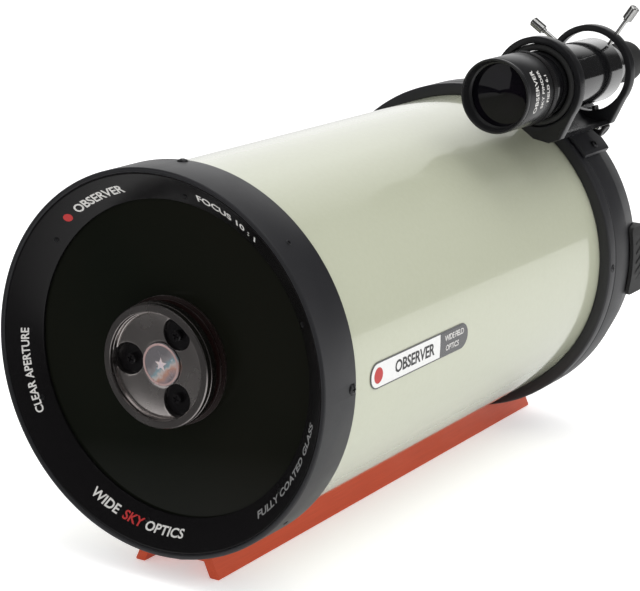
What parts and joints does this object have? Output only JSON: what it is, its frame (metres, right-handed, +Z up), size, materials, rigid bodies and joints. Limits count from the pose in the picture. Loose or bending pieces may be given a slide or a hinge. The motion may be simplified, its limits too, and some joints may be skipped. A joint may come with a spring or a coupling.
{
  "type": "schmidt cassegrain telescope",
  "caption": "Compact catadioptric telescope tube with a full-aperture corrector, sliding primary mirror, rear focuser, dovetail bar and a tilting finder scope.",
  "frame": {"origin": "centre of the overall footprint, on the plane of the dovetail bar's two feet, below the optical axis", "axes": "-Y is the way the telescope looks along its optical axis, +Z is up, +X is the finder's side, to the right seen from the front"},
  "size_m": [0.3064, 0.565, 0.3911],
  "materials": {
    "tube_paint": "gloss",
    "black_casting": "matte",
    "gloss_black": "gloss",
    "optical_glass": "gloss",
    "satin_black": "satin",
    "finder_gloss": "gloss",
    "black_plastic": "satin",
    "black_rubber": "matte",
    "mirror_coating": "polished",
    "bare_aluminium": "satin",
    "brass_thread": "satin",
    "bright_steel": "polished",
    "bar_orange": "satin",
    "label_film": "gloss",
    "badge_foil": "gloss"
  },
  "bodies": {
    "tube_assembly": {"main_tube": "tube_paint", "front_cell": "black_casting", "corrector_retaining_ring": "gloss_black", "corrector_plate": "optical_glass", "secondary_housing": "satin_black", "secondary_cover": "satin_black", "secondary_badge": "badge_foil", "secondary_cell_plate": "bare_aluminium", "secondary_baffle": "satin_black", "rear_cell": "black_casting", "baffle_tube": "satin_black", "field_lens_front": "optical_glass", "field_lens_spacer": "satin_black", "field_lens_rear": "optical_glass", "focus_bearing": "black_casting", "vent_cover_1": "black_plastic", "vent_cover_2": "black_plastic", "rear_adapter": "satin_black", "grip_pad_right": "black_rubber", "grip_pad_left": "black_rubber", "label_plate": "label_film", "dovetail_bar": "bar_orange", "dovetail_block_front": "black_casting", "dovetail_bolt_front": "bright_steel", "dovetail_bolt_rear": "bright_steel", "finder_shoe": "black_casting", "shoe_bolt_1": "bright_steel", "shoe_bolt_2": "bright_steel"},
    "secondary_ring": {"secondary_retaining_ring": "satin_black"},
    "collimation_1": {"collimation_screw_1": "bright_steel"},
    "collimation_2": {"collimation_screw_2": "bright_steel"},
    "collimation_3": {"collimation_screw_3": "bright_steel"},
    "secondary_gimbal": {"secondary_pivot": "bare_aluminium"},
    "secondary_mirror_cell": {"secondary_mirror_plate": "bare_aluminium", "secondary_mirror": "mirror_coating"},
    "mirror_carriage": {"primary_mirror": "mirror_coating", "mirror_carrier": "bare_aluminium", "mirror_retaining_nut": "bare_aluminium", "focus_rod": "bright_steel", "mirror_lock_rod_1": "bright_steel", "mirror_lock_rod_2": "bright_steel"},
    "focus_control": {"focus_shaft": "brass_thread", "focus_knob": "black_plastic", "focus_knob_grip": "black_rubber"},
    "mirror_lock_1": {"mirror_lock_knob_1": "black_plastic"},
    "mirror_lock_2": {"mirror_lock_knob_2": "black_plastic"},
    "eyepiece_holder": {"visual_back": "satin_black"},
    "eyepiece_holder_screw": {"visual_back_thumbscrew": "bright_steel"},
    "shoe_screw": {"shoe_thumbscrew": "black_plastic"},
    "bracket": {"finder_bracket": "satin_black"},
    "finder_gimbal": {"finder_o_ring": "black_rubber"},
    "finder_scope": {"finder_tube": "finder_gloss", "finder_eyepiece": "black_plastic", "finder_eye_lens": "optical_glass"},
    "finder_objective": {"finder_objective_cell": "satin_black", "finder_objective_lens": "optical_glass"},
    "finder_lock": {"finder_lock_ring": "satin_black"},
    "upper_screw": {"adjusting_screw_upper": "bright_steel"},
    "side_screw": {"adjusting_screw_side": "bright_steel"},
    "sprung_pin": {"spring_pin": "bright_steel"}
  },
  "joints": [
    {"name": "secondary_ring_unscrew", "type": "hinge", "parent": "tube_assembly", "child": "secondary_ring", "pos_m": [0, -0.2765, 0.164], "axis": [0, -1, 0], "range_deg": [0, 360]},
    {"name": "collimation_1_turn", "type": "hinge", "parent": "tube_assembly", "child": "collimation_1", "pos_m": [0.0135, -0.2725, 0.18738], "axis": [0, 1, 0], "range_deg": [-180, 180]},
    {"name": "collimation_2_turn", "type": "hinge", "parent": "tube_assembly", "child": "collimation_2", "pos_m": [-0.027, -0.2725, 0.164], "axis": [0, 1, 0], "range_deg": [-180, 180]},
    {"name": "collimation_3_turn", "type": "hinge", "parent": "tube_assembly", "child": "collimation_3", "pos_m": [0.0135, -0.2725, 0.14062], "axis": [0, 1, 0], "range_deg": [-180, 180]},
    {"name": "secondary_tilt_up", "type": "hinge", "parent": "tube_assembly", "child": "secondary_gimbal", "pos_m": [0, -0.2645, 0.164], "axis": [1, 0, 0], "range_deg": [-0.5, 0.5]},
    {"name": "secondary_tilt_side", "type": "hinge", "parent": "secondary_gimbal", "child": "secondary_mirror_cell", "pos_m": [0, -0.2645, 0.164], "axis": [0, 0, 1], "range_deg": [-0.5, 0.5]},
    {"name": "focus_knob_turn", "type": "hinge", "parent": "tube_assembly", "child": "focus_control", "pos_m": [-0.07, 0.2625, 0.138], "axis": [0, 1, 0], "range_deg": [-5760, 5760]},
    {"name": "mirror_focus", "type": "slide", "parent": "tube_assembly", "child": "mirror_carriage", "axis": [0, 1, 0], "range_m": [-0.0121, 0.0121]},
    {"name": "mirror_lock_1_turn", "type": "hinge", "parent": "tube_assembly", "child": "mirror_lock_1", "pos_m": [0.0425, 0.2555, 0.2376], "axis": [0, 1, 0], "range_deg": [0, 540]},
    {"name": "mirror_lock_2_turn", "type": "hinge", "parent": "tube_assembly", "child": "mirror_lock_2", "pos_m": [-0.0425, 0.2555, 0.0904], "axis": [0, 1, 0], "range_deg": [0, 540]},
    {"name": "eyepiece_holder_turn", "type": "hinge", "parent": "tube_assembly", "child": "eyepiece_holder", "pos_m": [0, 0.2675, 0.164], "axis": [0, 1, 0], "range_deg": [0, 360]},
    {"name": "eyepiece_holder_screw_turn", "type": "hinge", "parent": "eyepiece_holder", "child": "eyepiece_holder_screw", "pos_m": [0, 0.2745, 0.192], "axis": [0, 0, 1], "range_deg": [0, 720]},
    {"name": "shoe_screw_turn", "type": "hinge", "parent": "tube_assembly", "child": "shoe_screw", "pos_m": [0.10964, 0.2195, 0.28184], "axis": [0.829, 0, -0.5592], "range_deg": [0, 720]},
    {"name": "bracket_slide", "type": "slide", "parent": "tube_assembly", "child": "bracket", "axis": [0, 1, 0], "range_m": [0, 0.022]},
    {"name": "finder_tilt_up", "type": "hinge", "parent": "bracket", "child": "finder_gimbal", "pos_m": [0.11352, 0.0908, 0.3323], "axis": [0.829, 0, -0.5592], "range_deg": [-1.5, 1.5]},
    {"name": "finder_tilt_side", "type": "hinge", "parent": "finder_gimbal", "child": "finder_scope", "pos_m": [0.11352, 0.0908, 0.3323], "axis": [0.5592, 0, 0.829], "range_deg": [-1.5, 1.5]},
    {"name": "finder_objective_turn", "type": "hinge", "parent": "finder_scope", "child": "finder_objective", "pos_m": [0.11352, 0.0375, 0.3323], "axis": [0, 1, 0], "range_deg": [-180, 180]},
    {"name": "finder_lock_turn", "type": "hinge", "parent": "finder_scope", "child": "finder_lock", "pos_m": [0.11352, 0.0605, 0.3323], "axis": [0, 1, 0], "range_deg": [-180, 180]},
    {"name": "upper_screw_travel", "type": "slide", "parent": "bracket", "child": "upper_screw", "axis": [0.5592, 0, 0.829], "range_m": [-0.0028, 0.0028]},
    {"name": "side_screw_travel", "type": "slide", "parent": "bracket", "child": "side_screw", "axis": [-0.829, 0, 0.5592], "range_m": [-0.0028, 0.0028]},
    {"name": "spring_pin_travel", "type": "slide", "parent": "bracket", "child": "sprung_pin", "axis": [0.1908, 0, -0.9816], "range_m": [-0.002, 0.002]}
  ],
  "couplings": [
    {"joint": "mirror_focus", "follows": "focus_knob_turn", "m_per_rad": -0.00011937},
    {"joint": "secondary_tilt_up", "follows": "collimation_1_turn", "ratio": 0.0017},
    {"joint": "collimation_3_turn", "follows": "collimation_1_turn", "ratio": -1},
    {"joint": "secondary_tilt_side", "follows": "collimation_2_turn", "ratio": 0.00196},
    {"joint": "upper_screw_travel", "follows": "finder_tilt_up", "m_per_rad": 0.1005},
    {"joint": "spring_pin_travel", "follows": "finder_tilt_up", "m_per_rad": -0.0711},
    {"joint": "side_screw_travel", "follows": "finder_tilt_side", "m_per_rad": 0.1005}
  ]
}
